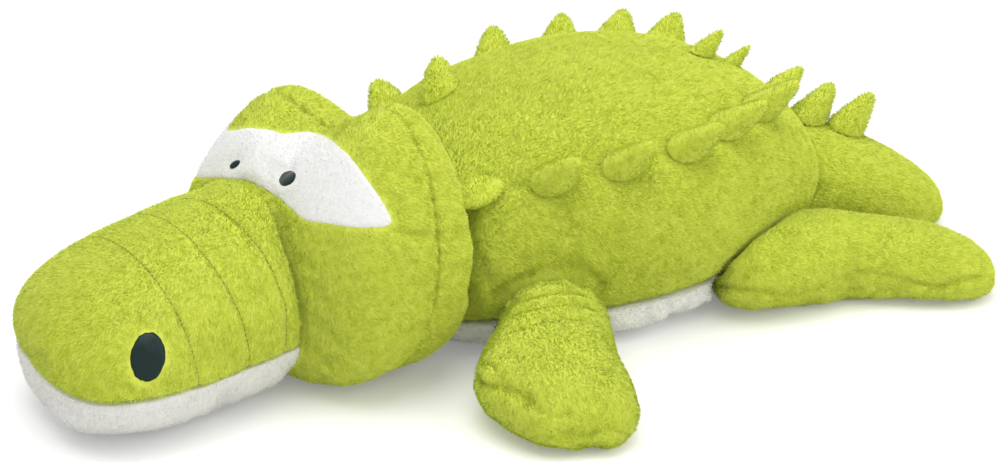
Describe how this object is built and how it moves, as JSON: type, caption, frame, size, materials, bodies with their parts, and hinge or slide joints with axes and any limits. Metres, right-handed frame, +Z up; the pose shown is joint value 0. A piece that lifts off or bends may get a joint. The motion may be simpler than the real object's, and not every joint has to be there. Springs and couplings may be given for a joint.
{
  "type": "plush crocodile",
  "caption": "Stuffed plush crocodile lying on its belly, with a turned head, bulbous snout, sewn legs and tail that lift off the floor, and padded spikes along the back.",
  "frame": {"origin": "middle of the box of the whole plush, on the floor it lies on", "axes": "+Z up, the nose points to -Y and the tail to +Y, the crocodile's left side is at +X"},
  "size_m": [0.6138, 0.989, 0.2665],
  "materials": {
    "green_pile": "short lime green plush pile",
    "white_pile": "short warm white plush pile",
    "white_felt": "smooth white short-nap fabric",
    "dark_thread": "satin embroidery thread"
  },
  "bodies": {
    "torso": {"torso": "green_pile", "belly": "white_pile", "spike_left_1": "green_pile", "spike_left_2": "green_pile", "spike_left_3": "green_pile", "spike_left_4": "green_pile", "spike_left_5": "green_pile", "spike_left_6": "green_pile", "spike_right_1": "green_pile", "spike_right_2": "green_pile", "spike_right_3": "green_pile", "spike_right_4": "green_pile", "spike_right_5": "green_pile", "spike_right_6": "green_pile", "rump_spike_1": "green_pile", "rump_spike_2": "green_pile", "rump_spike_3": "green_pile"},
    "head": {"head": "green_pile", "collar": "green_pile", "eye_patch": "white_felt", "pupil_left": "dark_thread", "pupil_right": "dark_thread", "snout": "green_pile", "jaw": "white_pile", "nostril_left": "dark_thread", "nostril_right": "dark_thread"},
    "front_leg_left": {"front_leg_left": "green_pile"},
    "front_leg_right": {"front_leg_right": "green_pile"},
    "hind_leg_left": {"hind_leg_left": "green_pile"},
    "hind_leg_right": {"hind_leg_right": "green_pile"},
    "tail": {"tail": "green_pile", "tail_spike_1": "green_pile", "tail_spike_2": "green_pile"}
  },
  "joints": [
    {"name": "head_lift", "type": "hinge", "parent": "torso", "child": "head", "pos_m": [0.0369, -0.1174, 0.1782], "axis": [-1, 0, 0], "range_deg": [0, 12]},
    {"name": "front_leg_left_lift", "type": "hinge", "parent": "torso", "child": "front_leg_left", "pos_m": [0.1488, -0.0371, 0.1093], "axis": [-0.2419, -0.9703, 0], "range_deg": [0, 30]},
    {"name": "front_leg_right_lift", "type": "hinge", "parent": "torso", "child": "front_leg_right", "pos_m": [-0.1625, -0.043, 0.1074], "axis": [-0.2419, 0.9703, 0], "range_deg": [0, 30]},
    {"name": "hind_leg_left_lift", "type": "hinge", "parent": "torso", "child": "hind_leg_left", "pos_m": [0.1424, 0.2311, 0.1038], "axis": [0.9397, -0.342, 0], "range_deg": [0, 20]},
    {"name": "hind_leg_right_lift", "type": "hinge", "parent": "torso", "child": "hind_leg_right", "pos_m": [-0.1379, 0.2181, 0.1037], "axis": [0.9397, 0.342, 0], "range_deg": [0, 20]},
    {"name": "tail_lift", "type": "hinge", "parent": "torso", "child": "tail", "pos_m": [0.017, 0.3243, 0.139], "axis": [0.9455, -0.3256, 0], "range_deg": [0, 20]}
  ]
}
